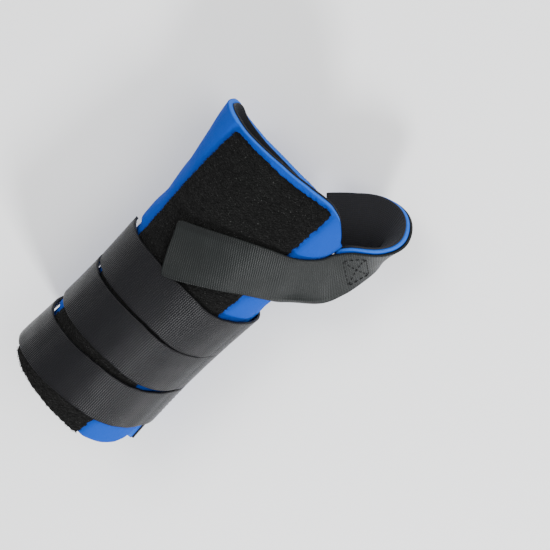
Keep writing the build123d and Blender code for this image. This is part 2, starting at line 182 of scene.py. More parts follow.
def slab(name, over, under, uv, slot, bulge=0.35, rings=3):
    """Closed sheet between two grids of points, with a rounded edge all round."""
    nu, nv = over.shape[:2]
    cnt = nu * nv
    ids = np.arange(cnt).reshape(nu, nv)
    a, b, c, d = ids[:-1, :-1], ids[1:, :-1], ids[1:, 1:], ids[:-1, 1:]
    top = np.stack([a, b, c, d], -1).reshape(-1, 4)
    n0 = np.cross(over[1:, :-1] - over[:-1, :-1], over[:-1, 1:] - over[:-1, :-1])
    flip = (n0 * (over - under)[:-1, :-1]).sum() < 0
    if flip:
        top = top[:, ::-1]
    loop = np.concatenate([ids[:-1, 0], ids[-1, :-1], ids[:0:-1, -1], ids[0, :0:-1]])
    inner = np.concatenate([ids[:-1, 1], ids[-2, :-1], ids[:0:-1, -2], ids[1, :0:-1]])
    O, U = over.reshape(-1, 3), under.reshape(-1, 3)
    out = O[loop] - O[inner] + U[loop] - U[inner]
    out /= np.maximum(np.linalg.norm(out, axis=1, keepdims=True), 1e-9)
    verts, uvs, rim = [O, U], [uv.reshape(-1, 2)] * 2, [np.zeros(2 * cnt)]
    chain, base = [loop], 2 * cnt
    for k in range(1, rings + 1):
        t = k / (rings + 1)
        verts.append(O[loop] * (1 - t) + U[loop] * t + out * bulge * sin(pi * t))
        uvs.append(uv.reshape(-1, 2)[loop])
        rim.append(np.ones(len(loop)))
        chain.append(np.arange(base, base + len(loop)))
        base += len(loop)
    chain.append(loop + cnt)
    faces = [top, top[:, ::-1] + cnt]
    for p, q in zip(chain[:-1], chain[1:]):
        side = np.stack([p, np.roll(p, -1), np.roll(q, -1), q], -1)
        faces.append(side if flip else side[:, ::-1])
    verts, faces, uvs, rim = (np.concatenate(q) for q in (verts, faces, uvs, rim))
    return make(name, verts, faces.tolist(), uvs, rim, slot)


def cut_area(over, under):
    """Area of the sheet half way between two grids of points, in square metres."""
    mid = (over + under) / 2
    across, back = mid[1:, 1:] - mid[:-1, :-1], mid[:-1, 1:] - mid[1:, :-1]
    return np.linalg.norm(np.cross(across, back), axis=-1).sum() / 2e6


# along one stitch: share of its length, rise and thickness
STITCH_PROFILE = ((0, -0.32, 0.35), (0.18, -0.05, 0.9), (0.5, 0.1, 1), (0.82, -0.05, 0.9), (1, -0.32, 0.35))


def threads(name, runs, slot, radius=0.24, pitch=2.7, length=2.0):
    """Rows of stitches: each run is a line of points and the surface's outward directions."""
    verts, faces, uv = [], [], []
    ring = [(cos(2 * pi * k / 6), sin(2 * pi * k / 6)) for k in range(6)]
    for pts, nrm in runs:
        pts, nrm = np.asarray(pts, float), np.asarray(nrm, float)
        d = np.concatenate([[0], np.cumsum(np.linalg.norm(np.diff(pts, axis=0), axis=1))])
        for k in range(max(int(d[-1] / pitch), 1)):
            mid = (k + 0.5) * d[-1] / max(int(d[-1] / pitch), 1)
            at = lambda q: np.array([np.interp(q, d, pts[:, j]) for j in range(3)])
            n = np.array([np.interp(mid, d, nrm[:, j]) for j in range(3)])
            n /= np.linalg.norm(n)
            p0, p1 = at(mid - length / 2), at(mid + length / 2)
            t = (p1 - p0) / max(np.linalg.norm(p1 - p0), 1e-9)
            w = np.cross(n, t)
            b0 = len(verts)
            for q, dip, r in STITCH_PROFILE:
                for cx, cy in ring:
                    verts.append(p0 + (p1 - p0) * q + n * (dip * 0.6 + cy * radius * r) + w * cx * radius * r)
                    uv.append((q * length, cx))
            for r in range(4):
                for j in range(6):
                    a, b = b0 + r * 6 + j, b0 + r * 6 + (j + 1) % 6
                    faces.append((a, b, b + 6, a + 6))
            faces.append(tuple(b0 + j for j in range(5, -1, -1)))
            faces.append(tuple(b0 + 24 + j for j in range(6)))
    return make(name, verts, faces, uv, slot=slot)


def move(obj, body, *nodes):
    """Let obj ride on body, in place of the CAD nodes named."""
    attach(obj, body)
    if nodes:
        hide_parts(*nodes)
    return obj


# ---------------------------------------------------------------- materials
class Tree:
    """Small helper that wires shader nodes."""

    def __init__(self, name):
        self.m = bpy.data.materials.new(name)
        self.m.use_nodes = True
        self.t = self.m.node_tree
        self.p = self.t.nodes["Principled BSDF"]
        uv = self.t.nodes.new("ShaderNodeTexCoord")
        self.uv = uv.outputs["UV"]
        split = self.t.nodes.new("ShaderNodeSeparateXYZ")
        self.t.links.new(self.uv, split.inputs[0])
        self.u, self.v = split.outputs[0], split.outputs[1]

    def put(self, socket, x):
        if isinstance(x, bpy.types.NodeSocket):
            self.t.links.new(x, socket)
        else:
            socket.default_value = x

    def math(self, op, a, b=0.0, c=0.0):
        n = self.t.nodes.new("ShaderNodeMath")
        n.operation = op
        for s, x in zip(n.inputs, (a, b, c)):
            self.put(s, x)
        return n.outputs[0]

    def noise(self, scale, detail=3.0, rough=0.55, stretch=None, w=0.0):
        n = self.t.nodes.new("ShaderNodeTexNoise")
        n.noise_dimensions = "4D"
        n.inputs["W"].default_value = w
        n.inputs["Scale"].default_value = scale
        n.inputs["Detail"].default_value = detail
        n.inputs["Roughness"].default_value = rough
        if stretch:
            m = self.t.nodes.new("ShaderNodeMapping")
            m.inputs["Scale"].default_value = stretch
            self.t.links.new(self.uv, m.inputs[0])
            self.t.links.new(m.outputs[0], n.inputs[0])
        else:
            self.t.links.new(self.uv, n.inputs[0])
        return n.outputs[0]

    def cells(self, scale):
        n = self.t.nodes.new("ShaderNodeTexVoronoi")
        n.inputs["Scale"].default_value = scale
        self.t.links.new(self.uv, n.inputs[0])
        return n.outputs[0]

    def attribute(self, name):
        n = self.t.nodes.new("ShaderNodeAttribute")
        n.attribute_name = name
        return n.outputs["Fac"]

    def ramp(self, fac, stops):
        n = self.t.nodes.new("ShaderNodeValToRGB")
        r = n.color_ramp
        while len(r.elements) < len(stops):
            r.elements.new(0.5)
        for e, (pos, col) in zip(r.elements, stops):
            e.position = pos
            e.color = (*col, 1) if hasattr(col, "__len__") else (col, col, col, 1)
        self.t.links.new(fac, n.inputs[0])
        return n.outputs[0]

    def mix(self, fac, a, b):
        n = self.t.nodes.new("ShaderNodeMix")
        n.data_type = "RGBA"
        self.put(n.inputs[0], fac)
        for s, x in ((n.inputs[6], a), (n.inputs[7], b)):
            self.put(s, x if isinstance(x, bpy.types.NodeSocket) else (*x, 1))
        return n.outputs[2]

    def done(self, color, rough, height=None, depth=0.0002, sheen=0.0, tint=(1, 1, 1), sheen_rough=0.5,
             spec=0.35, metal=0.0):
        wired = isinstance(color, bpy.types.NodeSocket)
        self.put(self.p.inputs["Base Color"], color if wired else (*color, 1))
        self.put(self.p.inputs["Roughness"], rough)
        self.p.inputs["Metallic"].default_value = metal
        self.p.inputs["Specular IOR Level"].default_value = spec
        self.p.inputs["Sheen Weight"].default_value = sheen
        self.p.inputs["Sheen Tint"].default_value = (*tint, 1)
        self.p.inputs["Sheen Roughness"].default_value = sheen_rough
        if height is not None:
            b = self.t.nodes.new("ShaderNodeBump")
            b.inputs["Distance"].default_value = depth
            b.inputs["Strength"].default_value = 1.0
            self.t.links.new(height, b.inputs["Height"])
            self.t.links.new(b.outputs[0], self.p.inputs["Normal"])
        return self.m


def foam_look():
    t = Tree("blue_foam")
    fuzz = t.noise(2.6, 4, 0.7)
    patch = t.noise(0.09, 3, 0.6, w=4)
    nap = t.noise(0.9, 3, 0.6, stretch=(1.0, 0.35, 1), w=2)
    col = t.mix(t.math("MULTIPLY", fuzz, 0.9), (0.0012, 0.032, 0.27), (0.004, 0.068, 0.41))
    col = t.mix(t.ramp(patch, [(0.35, 0.0), (0.7, 0.35)]), col, (0.003, 0.045, 0.32))
    edge = t.mix(t.noise(3.5, 2, 0.5, w=9), (0.007, 0.085, 0.50), (0.022, 0.15, 0.64))
    col = t.mix(t.attribute("rim"), col, edge)
    h = t.math("ADD", t.math("MULTIPLY", fuzz, 0.6), t.math("MULTIPLY", nap, 0.7))
    rough = t.ramp(fuzz, [(0.2, 0.72), (0.8, 0.95)])
    return t.done(col, rough, h, 0.00035, 0.02, (0.35, 0.55, 1.0), 0.45, 0.10)


def knit_look(name, dark, light, period, depth, sheen):
    t = Tree(name)
    a = t.math("SINE", t.math("MULTIPLY", t.u, 2 * pi / period))
    phase = t.math("ADD", t.math("MULTIPLY", t.v, pi / period), t.math("MULTIPLY", a, 0.7))
    row = t.math("ABSOLUTE", t.math("SINE", phase))
    h = t.math("MULTIPLY", row, t.math("ADD", t.math("MULTIPLY", a, 0.3), 0.7))
    fluff = t.noise(1.8, 3, 0.6)
    col = t.mix(t.math("MULTIPLY", t.math("ADD", h, fluff), 0.5), dark, light)
    rough = t.ramp(fluff, [(0.3, 0.8), (0.75, 0.97)])
    return t.done(col, rough, t.math("ADD", h, fluff), depth, sheen, (0.8, 0.85, 1.0), 0.5, 0.25)


def pile_look(name, dark, light, speck):
    t = Tree(name)
    loops = t.cells(1.15)
    clump = t.noise(0.30, 4, 0.65)
    lint = t.ramp(t.noise(1.5, 2, 0.4, w=3), [(0.66, 0.0), (0.74, 1.0)])
    f = t.math("MULTIPLY", t.math("ADD", loops, clump), 0.62)
    col = t.mix(f, light, dark)
    col = t.mix(t.math("MULTIPLY", lint, 0.55), col, speck)
    h = t.math("ADD", t.math("MULTIPLY", loops, -1.0), t.math("MULTIPLY", clump, 1.6))
    return t.done(col, 0.95, h, 0.0007, 0.03, (0.9, 0.9, 0.9), 0.6, 0.08)


def web_look(name, dark, light, shine):
    """Narrow woven webbing: rows of short warp floats, with painted shade darkening the colour towards both
    edges.
    """
    t = Tree(name)
    column, pick = 0.9, 1.05
    number = t.math("FLOOR", t.math("ADD", t.math("DIVIDE", t.u, column), 200.0))
    half = t.math("MULTIPLY", t.math("MODULO", number, 2.0), 0.9)  # every other column is set half a pick on
    rib = t.math("SINE", t.math("ADD", t.math("MULTIPLY", t.v, 2 * pi / pick), half))
    across = t.math("ABSOLUTE", t.math("SINE", t.math("MULTIPLY", t.u, pi / column)))
    ridge = t.math("ADD", t.math("MULTIPLY", rib, 0.5), 0.5)
    weave = t.math("MULTIPLY", ridge, t.math("ADD", t.math("MULTIPLY", across, 0.35), 0.65))
    yarn = t.noise(1.6, 3, 0.6, stretch=(2.2, 0.5, 1))
    uneven = t.noise(0.16, 3, 0.6, w=5)
    fibre = t.noise(6.0, 2, 0.6, w=8)
    # painted shade: the colour is darkened towards both long edges, standing in for the shadow along them
    painted_edge_shade = t.ramp(t.math("DIVIDE", t.math("ABSOLUTE", t.u), HALF_W), [(0.84, 0.0), (0.96, 1.0)])
    f = t.math("ADD", t.math("MULTIPLY", weave, 0.55), t.math("MULTIPLY", t.math("ADD", yarn, uneven), 0.35))
    col = t.mix(f, dark, light)
    col = t.mix(t.math("MULTIPLY", painted_edge_shade, 0.45), col, dark)
    lint = t.ramp(t.noise(2.3, 1, 0.3, w=11), [(0.76, 0.0), (0.80, 0.5)])
    col = t.mix(lint, col, tuple(3.2 * x for x in light))
    h = t.math("ADD", weave, t.math("ADD", t.math("MULTIPLY", yarn, 0.5), t.math("MULTIPLY", fibre, 0.25)))
    worn = t.math("ADD", t.math("MULTIPLY", weave, 0.5), t.math("MULTIPLY", uneven, 0.5))
    rough = t.ramp(worn, [(0.2, shine + 0.16), (0.8, shine)])
    return t.done(col, rough, h, 0.00015, 0.01, (0.85, 0.85, 1.0), 0.4, 0.17)


def hook_look():
    t = Tree("hook_tape")
    g = t.math(
        "MULTIPLY",
        t.math("SINE", t.math("MULTIPLY", t.u, 2 * pi / 1.3)),
        t.math("SINE", t.math("MULTIPLY", t.v, 2 * pi)),
    )
    n = t.noise(3.0, 2, 0.5)
    h = t.math("ADD", t.math("MAXIMUM", g, 0.0), t.math("MULTIPLY", n, 0.2))
    col = t.mix(h, (0.008, 0.008, 0.009), (0.05, 0.05, 0.052))
    return t.done(col, t.ramp(n, [(0.3, 0.35), (0.7, 0.55)]), h, 0.0005, 0.0, spec=0.5)


def weave_look(name, dark, light):
    t = Tree(name)
    a = t.math("SINE", t.math("MULTIPLY", t.u, 2 * pi / 1.2))
    b = t.math("SINE", t.math("MULTIPLY", t.v, 2 * pi / 1.2))
    cross = t.math("MULTIPLY", t.math("MULTIPLY", a, b), 0.5)
    h = t.math("ADD", cross, t.math("MULTIPLY", t.noise(1.2, 3, 0.6), 0.8))
    rough = t.ramp(t.noise(0.4, 3, 0.6), [(0.3, 0.55), (0.7, 0.75)])
    return t.done(t.mix(h, dark, light), rough, h, 0.0002, 0.1, (0.9, 0.9, 1), 0.4, 0.35)


def metal_look():
    t = Tree("aluminium_stay")
    g = t.t.nodes.new("ShaderNodeTexCoord")
    t.t.links.new(g.outputs["Object"], t.t.nodes.new("ShaderNodeMapping").inputs[0])
    m = t.t.nodes["Mapping"]
    m.inputs["Scale"].default_value = (40, 2500, 2500)
    n = t.t.nodes.new("ShaderNodeTexNoise")
    n.inputs["Scale"].default_value = 1.0
    t.t.links.new(m.outputs[0], n.inputs[0])
    brushed = n.outputs[0]
    col = t.mix(brushed, (0.55, 0.56, 0.58), (0.78, 0.79, 0.8))
    return t.done(col, t.ramp(brushed, [(0.3, 0.25), (0.7, 0.42)]), brushed, 0.00003, metal=1.0)


def thread_look():
    t = Tree("thread")
    tw = t.math("SINE", t.math("ADD", t.math("MULTIPLY", t.u, 14.0), t.math("MULTIPLY", t.v, 3.0)))
    col = t.mix(t.math("ADD", t.math("MULTIPLY", tw, 0.4), 0.5), (0.002, 0.002, 0.0024), (0.009, 0.009, 0.010))
    return t.done(col, 0.6, tw, 0.00006, 0.0, spec=0.15)


LOOK = {
    "blue_foam": foam_look(),
    "black_lining": knit_look(
        "black_lining", (0.004, 0.004, 0.005), (0.020, 0.020, 0.023), 0.9, 0.00018, 0.08),
    "black_pile": pile_look(
        "black_pile", (0.0012, 0.0012, 0.0012), (0.0075, 0.0075, 0.0070), (0.075, 0.075, 0.072)),
    "pocket_fabric": weave_look("pocket_fabric", (0.008, 0.008, 0.009), (0.035, 0.035, 0.04)),
    "forearm_webbing": web_look("forearm_webbing", (0.0013, 0.0013, 0.0018), (0.0062, 0.0061, 0.0076), 0.29),
    "thumb_webbing": web_look("thumb_webbing", (0.0034, 0.0040, 0.0039), (0.0140, 0.0162, 0.0156), 0.36),
    "hook_tape": hook_look(),
    "thread": thread_look(),
    "aluminium_stay": metal_look(),
}

# ---------------------------------------------------------------- the wrap and its lining
# height of the palm panel's thumb-side edge, and of the dorsal flap's, over the widest line
PANEL_EDGE = [(-95, 1.0), (-70, 1.0), (-45, 1.0), (-20, 0.8), (-9, -2.6), (2, -8.2), (16, -13.0), (30, -14.4),
              (41, -14.0), (60, -14.0)]
FLAP_EDGE = 5.0
# where the wrap ends towards the fingers, by angle round the limb
FINGER_END = [(-145.9, 37.3), (-110.4, 51.6), (-95, 50.7), (-70, 51.2), (-42, 56.1), (-25, 61.6), (-5, 65.2),
              (10, 67.5), (35, 68.9), (58, 69.5), (81, 71.4), (101, 74.4), (122, 75.6), (136, 72.8), (150, 66.5), (160, 61.8), (171, 58.6)]
# how far its rounded arm-end corners are cut back, by angle
ARM_END_FLAP = [(112, 0.0), (125, 0.6), (141, 2.0), (155, 4.5), (164, 8.0), (168, 12.0), (171.7, 18.0)]
ARM_END_PANEL = [(-181.5, 12.0), (-179, 7.0), (-175.3, 3.0), (-170, 1.0), (-162, 0.0)]


def wrap_grid(nt, ns, grow=0.0):
    """Grid of (s, angle) over the wrap's cut outline, a little larger by grow."""
    t, r = np.meshgrid(np.linspace(0, 1, nt), np.linspace(0, 1, ns), indexing="ij")
    phi_end = 171 - 316.9 * t
    s1 = np.interp(phi_end, *np.array(FINGER_END).T) * 0.35 + soft(phi_end, FINGER_END) * 0.65 + grow
    phi_arm = 171.7 - 353.2 * t
    s0 = PROX_END - grow + np.where(phi_arm > 112, np.interp(phi_arm, *np.array(ARM_END_FLAP).T), 0)
    s0 = s0 + np.where(phi_arm < -162, np.interp(phi_arm, *np.array(ARM_END_PANEL).T), 0)
    s = s0 + r * (s1 - s0)
    h = soft(s, PANEL_EDGE)
    a = 180 - angle_of_height(s, FLAP_EDGE, 2.0) + grow * 0.8
    b = -180 - angle_of_height(s, h, 2.0) - grow * 0.8
    return s, a + (b - a) * t


def arc_uv(s, phi, off):
    """Real lengths round and along, for weave that keeps its scale."""
    p = on_form(s, phi, off)
    steps = np.linalg.norm(np.diff(p, axis=0), axis=-1)
    return np.stack([np.concatenate([np.zeros((1, p.shape[1])), np.cumsum(steps, axis=0)]), s], -1)


def pile_edges(s):
    """Breadths of the patch's little-finger and thumb edges."""
    side = soft(s, [(-107, 34), (-85, 32), (-60, 30.5), (-15, 29.5), (20, 30.4), (45, 29.8), (66, 28.6)])
    thumb = soft(s, [(-107, -18.5), (-66, -22.5), (-30, -24), (2, -26.5), (44, -28), (71, -29.5)])
    return side, thumb


s, phi = wrap_grid(200, 170)
mid = on_form(s, phi, WALL)
side, thumb = pile_edges(s)
upper = (phi > 0) & (phi < 178)
s_end = np.interp(phi, *np.array(FINGER_END).T) - 1.5
gap = np.maximum.reduce([mid[..., 1] - side, thumb - mid[..., 1], s - s_end])  # above 0 outside the patch
gap = np.where(upper, gap, 20.0)
under_strap = np.zeros_like(s)
for distal, shift in STRAPS.values():
    m = distal - HALF_W + shift * (mid[..., 1] + SLANT_FROM) / SLANT_OVER
    under_strap = np.maximum(under_strap, smooth((HALF_W + 3.5 - np.abs(s - m)) / 3) * (phi > -20))
groove = -0.75 * np.exp(-((gap - 0.4) / 0.8) ** 2)
fuller = 0.9 * smooth((32 - np.abs(phi - 4)) / 16) * smooth((10 - s) / 15)  # on the little-finger side
puff = (0.42 + fuller) * smooth((gap - 1.2) / 2.0) * (1 - under_strap)
wave = 0.22 * ripple(s, phi * 0.6, 26, 3) * smooth(gap / 3) * (1 - 0.8 * under_strap)
outer = on_form(s, phi, WALL + groove + puff + wave - 0.25 * under_strap * smooth(gap / 2))
shell = slab("wrap_shell_foam", outer, on_form(s, phi, 0.8), arc_uv(s, phi, WALL), "blue_foam", 0.3)
move(shell, "wrap", "wrap_shell")

s, phi = wrap_grid(150, 130, 0.55)
over, under = on_form(s, phi, 0.72), on_form(s, phi, 0.05 + 0.12 * ripple(s, phi * 0.6, 20, 9))
lining = slab("wrap_lining_knit", over, under, arc_uv(s, phi, 0), "black_lining", 0.2, 1)
move(lining, "wrap", "wrap_lining")
cut_area(over, under)

# ---------------------------------------------------------------- loop-pile patch
PILE_T = 1.0


def pile_point(a, l):
    """(s, angle) on the patch: a from the little-finger side to the thumb side, l along it."""
    s_top = -107.2 + l * (soft(48 + 70 * a, FINGER_END) - 1.7 + 107.2)
    side, thumb = pile_edges(s_top)
    rag = 0.35 * ripple(s_top, a * 40, 3.1, 21)
    p0 = angle_of_breadth(s_top, side + rag, WALL + 0.6)
    p1 = angle_of_breadth(s_top, thumb - 0.5 * ripple(s_top, a * 40, 2.3, 22), WALL + 0.6)
    corner = 1.2 * (np.abs(2 * a - 1) ** 16) * smooth((l - 0.97) / 0.03)
    ragged_ends = 0.35 * ripple(a * 60, s_top * 0.2, 3.0, 23) * smooth((np.abs(2 * l - 1) - 0.97) / 0.03)
    return s_top - corner + ragged_ends, p0 + (p1 - p0) * a


a, l = np.meshgrid(np.linspace(0, 1, 96), np.linspace(0, 1, 250), indexing="ij")
s, phi = pile_point(a, l)
from_edge = np.minimum(np.minimum(a, 1 - a) * 60, np.minimum(l, 1 - l) * 175)
low_edge = 0.45 * (1 - smooth(from_edge / 1.4))
top = WALL + 0.05 + PILE_T - low_edge + 0.10 * ripple(s, phi * 0.6, 5, 31) + 0.06 * ripple(s, phi * 0.6, 2.2, 32)
over, under = on_form(s, phi, top), on_form(s, phi, WALL - 0.1)
pile = slab("loop_pile_patch", over, under, arc_uv(s, phi, WALL), "black_pile", 0.3)
move(pile, "wrap", "dorsal_pile_patch")
cut_area(over, under)

# fibre loops standing out of the pile
count = 26000
a, l = rng.random(count) * 1.012 - 0.006, rng.random(count) * 1.006 - 0.003
s, phi = pile_point(np.clip(a, 0, 1), np.clip(l, 0, 1))
keep = np.ones(count, bool)
for distal, shift in STRAPS.values():
    y = on_form(s, phi, 4.0)[:, 1]
    m = distal - HALF_W + shift * (y + SLANT_FROM) / SLANT_OVER
    keep &= ~((np.abs(s - m) < HALF_W - 2.0) & (y > -30))
a, l, s, phi = a[keep], l[keep], s[keep], phi[keep]
edge = (np.minimum(a, 1 - a) < 0.012) | (np.minimum(l, 1 - l) < 0.006)
root = on_form(s, phi, WALL + 0.75)
up = on_form(s, phi, WALL + 1.75) - root
spin = rng.uniform(0, 2 * pi, len(s))
side_dir = np.cross(up, np.array([1.0, 0, 0]))
side_dir /= np.linalg.norm(side_dir, axis=1, keepdims=True)
fwd = np.cross(side_dir, up)
run = np.cos(spin)[:, None] * side_dir + np.sin(spin)[:, None] * fwd
cross = -np.sin(spin)[:, None] * side_dir + np.cos(spin)[:, None] * fwd
tall = rng.uniform(0.25, 0.62, len(s))[:, None] * np.where(edge, 0.8, 1.0)[:, None]
wide = rng.uniform(0.35, 0.75, len(s))[:, None]
lean = rng.normal(0, 0.25, (len(s), 1))
FIBRE = 0.055  # half a loop's thickness
arch = [(-1, 0.0), (-0.8, 0.75), (-0.1, 1.0), (0.7, 0.8), (1, 0.0)]
verts = []
for cx, cz in arch:
    mid_pt = root + run * wide * cx + up * tall * cz + cross * lean * cz
    verts += [mid_pt - cross * FIBRE, mid_pt + cross * FIBRE]
verts = np.stack(verts, 1).reshape(-1, 3)
first = np.arange(len(s)) * 10
faces = np.concatenate([np.stack([first + 2 * k + j for j in (0, 1, 3, 2)], -1) for k in range(4)])
uv = np.repeat(rng.uniform(0, 100, (len(s), 2)), 10, axis=0)
fuzz = make("loop_pile_fibres", verts, faces.tolist(), uv, slot="black_pile")
move(fuzz, "wrap")


# ---------------------------------------------------------------- straps round the limb
def box_stitch(seat, half, near, far, count):
    """Runs of a box and its two diagonals, put on a surface by seat."""
    corners = [(-half, near), (half, near), (half, far), (-half, far), (-half, near)]
    ends = [*zip(corners[:-1], corners[1:]), ((-half, near), (half, far)), ((-half, far), (half, near))]
    return [seat(np.linspace(p[0], q[0], count), np.linspace(p[1], q[1], count)) for p, q in ends]


def bow(angle, distal):
    """How far a strap strays along the limb as it turns over the thumb side of the back."""
    amount = 2.2 if distal > -20 else 1.8
    slack = 0.8 if distal < -50 else 0.0
    return -amount * np.exp(-(((angle - 124) / 24) ** 2)) + slack * smooth((90 - angle) / 60)


def corner_trim(inside, radius):
    """How far a rounded corner cuts the end back, at a place inside the edge."""
    cut = radius - np.sqrt(np.maximum(radius**2 - (radius - inside) ** 2, 0))
    return np.where(inside < radius, cut, 0)


def band(distal, shift, end_height, corner, inset, n_across, n_along, start, far=None):
    """Grid of (s, angle, distance along) over a slanted band from its sewn end to its free end."""
    sc = distal - HALF_W
    fine = np.linspace(start, float(angle_of_height(sc + shift, end_height, 6.0)), 900)
    y = on_form(np.full_like(fine, sc), fine, 6.0)[:, 1]
    line = on_form(sc + shift * (y + SLANT_FROM) / SLANT_OVER, fine, 6.0)
    d = np.concatenate([[0], np.cumsum(np.linalg.norm(np.diff(line, axis=0), axis=1))])
    half = HALF_W - inset
    spread = np.hypot(1, shift / SLANT_OVER)
    u = half * np.sin(np.linspace(-pi / 2, pi / 2, n_across)) * 0.35 + np.linspace(-half, half, n_across) * 0.65
    r = np.where(u < 0, corner, corner if far is None else far)
    trim = corner_trim(half - np.abs(u), r)
    k = np.linspace(0, 1, n_along)
    dist = k[None, :] * (d[-1] - inset - trim[:, None])
    ang = np.interp(dist, d, fine)
    yy = on_form(np.full_like(ang, sc), ang, 6.0)[..., 1]
    ss = sc + shift * (yy + SLANT_FROM) / SLANT_OVER + u[:, None] * spread + bow(ang, distal)
    return ss, ang, dist, np.broadcast_to(u[:, None], ang.shape), d[-1]


FOLD_DROP, BASE_LEN = 2.0, 15.0
END_HEIGHT = {"wrist_strap": 3.6, "middle_strap": -5.5, "forearm_strap": -5.5}  # of the free ends
for seed, (name, (distal, shift)) in enumerate(STRAPS.items()):
    sc = distal - HALF_W
    start = 180 + float(angle_of_height(sc, FOLD_DROP + BASE_LEN, 6.0))
    low = END_HEIGHT[name]
    s, phi, dist, u, total = band(distal, shift, low, 9.0 if low > 0 else 1.6, 0.0, 27, 220, start, 2.0)
    wander = 0.22 * ripple(dist, u * 0.05, 34, 40 + seed)
    s = s + wander + 0.12 * ripple(dist, u * 4, 9, 50 + seed) * (np.abs(u) / HALF_W) ** 6
    # the underside lies over the fold, on the wrap, on the pile and over the hook tab in turn
    lift = np.interp(
        dist, [0, 13, 20, 27, 36, total - 38, total - 29, total], [4.95, 4.95, 4.6, 4.05, 4.62, 4.62, 5.22, 5.22])
    lift = lift + 0.10 * ripple(dist, u, 17, 60 + seed) * smooth((dist - 20) / 15) + 0.10
    under, over = on_form(s, phi, lift), on_form(s, phi, lift + WEB)
    uv = np.stack([u, dist], -1)
    web = slab(f"{name}_webbing", over, under, uv, "forearm_webbing", 0.28)
    free = f"{name}_free"
    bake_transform(web)
    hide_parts(name, f"{name}_base")

    s, phi, dist, u, _ = band(distal, shift, low, 0.01, 0.15, 15, 24, start)
    short = dist * (BASE_LEN - 1.2) / dist.max() + 0.3
    sc_line = np.linspace(start, start - 60, 500)
    steps = np.linalg.norm(np.diff(on_form(np.full(500, sc), sc_line, 5.0), axis=0), axis=1)
    d_line = np.concatenate([[0], np.cumsum(steps)])
    phi = np.interp(short, d_line, sc_line)
    over, under = on_form(s, phi, 4.9), on_form(s, phi, 3.5)
    fold = slab(f"{name}_fold", over, under, np.stack([u, short], -1), "forearm_webbing", 0.28)
    move(fold, "wrap")

    # hook tab under the free end
    s, phi, dist, u, total = band(
        distal, shift, low + 1.5, 7.5 if low > 0 else 1.2, 1.2, 15, 260, start, 1.5)
    keep_from = np.searchsorted(dist[7], total - 29)
    s, phi, dist, u = s[:, keep_from:], phi[:, keep_from:], dist[:, keep_from:], u[:, keep_from:]
    over, under = on_form(s, phi, 5.28), on_form(s, phi, 4.74)
    tab = slab(f"{name}_hook_tab", over, under, np.stack([u, dist], -1), "hook_tape", 0.05, 1)
    move(tab, free, f"{name}_hook")

    # box stitch through the sewn end
    box_u, d0, d1 = 9.6, 2.2, 10.6  # half width, and the box's two ends

    def seat(uu, dd):
        uu, dd = np.atleast_1d(uu).astype(float), np.atleast_1d(dd).astype(float)
        ang = np.interp(dd, d_line, sc_line)
        return on_form(sc + uu, ang, 6.52), on_form(sc + uu, ang, 8.0) - on_form(sc + uu, ang, 6.0)

    runs = box_stitch(seat, box_u, d0, d1, 12)
    sewn = threads(f"{name}_sewing", runs, "thread")
    move(sewn, "wrap", f"{name}_stitch")

# ---------------------------------------------------------------- thumb tongue and its strap
# from the strap's free end to the seam: x and y, height or None where it lies on the form, and the way it faces
THUMB_PATH = [
    (-4.0, 13.0, None, (0.0, 0.0, 1.0)),
    (6.0, -3.0, None, (0.0, 0.0, 1.0)),
    (16.0, -19.0, None, (0.0, -0.12, 1.0)),
    (26.5, -35.5, None, (-0.05, -0.62, 0.78)),
    (38.0, -50.5, 40.5, (0.0, -0.88, 0.50)),
    (50.5, -57.0, 33.5, (0.0, -1.0, 0.18)),
    (62.0, -59.5, 27.0, (0.0, -1.0, -0.12)),
    (70.0, -55.5, 20.0, (0.25, -0.78, -0.60)),
    (68.0, -46.0, 15.2, (0.25, -0.45, -0.85)),
    (59.5, -36.5, 14.4, (0.2, -0.35, -0.92)),
    (49.8, -27.6, 16.6, (0.2, -0.48, -0.86)),
]
OVER_PILE, OVER_WRIST = 5.65, 7.35  # the webbing's underside off the skin, on the pile and on the wrist strap
FOLD_AT, TONGUE_T = 4.36, 2.65  # place of the strap's fold along the path, and the tongue's thickness
FACE_UP = 0.40  # the strap is turned this much towards the back of the hand, in radians
knots = np.array([
    (x + SHIFT, y, float(top_of(x + SHIFT, y, OVER_PILE)) if z is None else z, *n) for x, y, z, n in THUMB_PATH
])


def frame_at(p):
    """Point on the thumb path, direction across the strap and direction out of it."""
    p = np.atleast_1d(np.asarray(p, float))

    def along(q):
        i = np.clip(q.astype(int), 0, len(knots) - 2)
        t = (q - i)[:, None]
        g = [knots[np.clip(i + k, 0, len(knots) - 1)] for k in (-1, 0, 1, 2)]
        square, cube = 2 * g[0] - 5 * g[1] + 4 * g[2] - g[3], 3 * g[1] - g[0] - 3 * g[2] + g[3]
        return 0.5 * (2 * g[1] + (g[2] - g[0]) * t + square * t**2 + cube * t**3)

    row = along(p)
    c, n = row[:, :3], row[:, 3:]
    t = along(np.minimum(p + 0.05, 10.0))[:, :3] - along(np.maximum(p - 0.05, 0.0))[:, :3]
    t /= np.linalg.norm(t, axis=1, keepdims=True)
    n = n - t * (n * t).sum(1, keepdims=True)
    n /= np.linalg.norm(n, axis=1, keepdims=True)
    w = np.cross(t, n)
    turn = FACE_UP * smooth((p - 1.8) / 1.2) * (1 - smooth((p - 4.3) / 2.4))
    pivot = HALF_W * (2 * smooth((p - 2.8) / 1.6) - 1)
    n2 = n * np.cos(turn)[:, None] + w * np.sin(-turn)[:, None]
    w2 = np.cross(t, n2)
    return c + pivot[:, None] * (w - w2), w2, n2


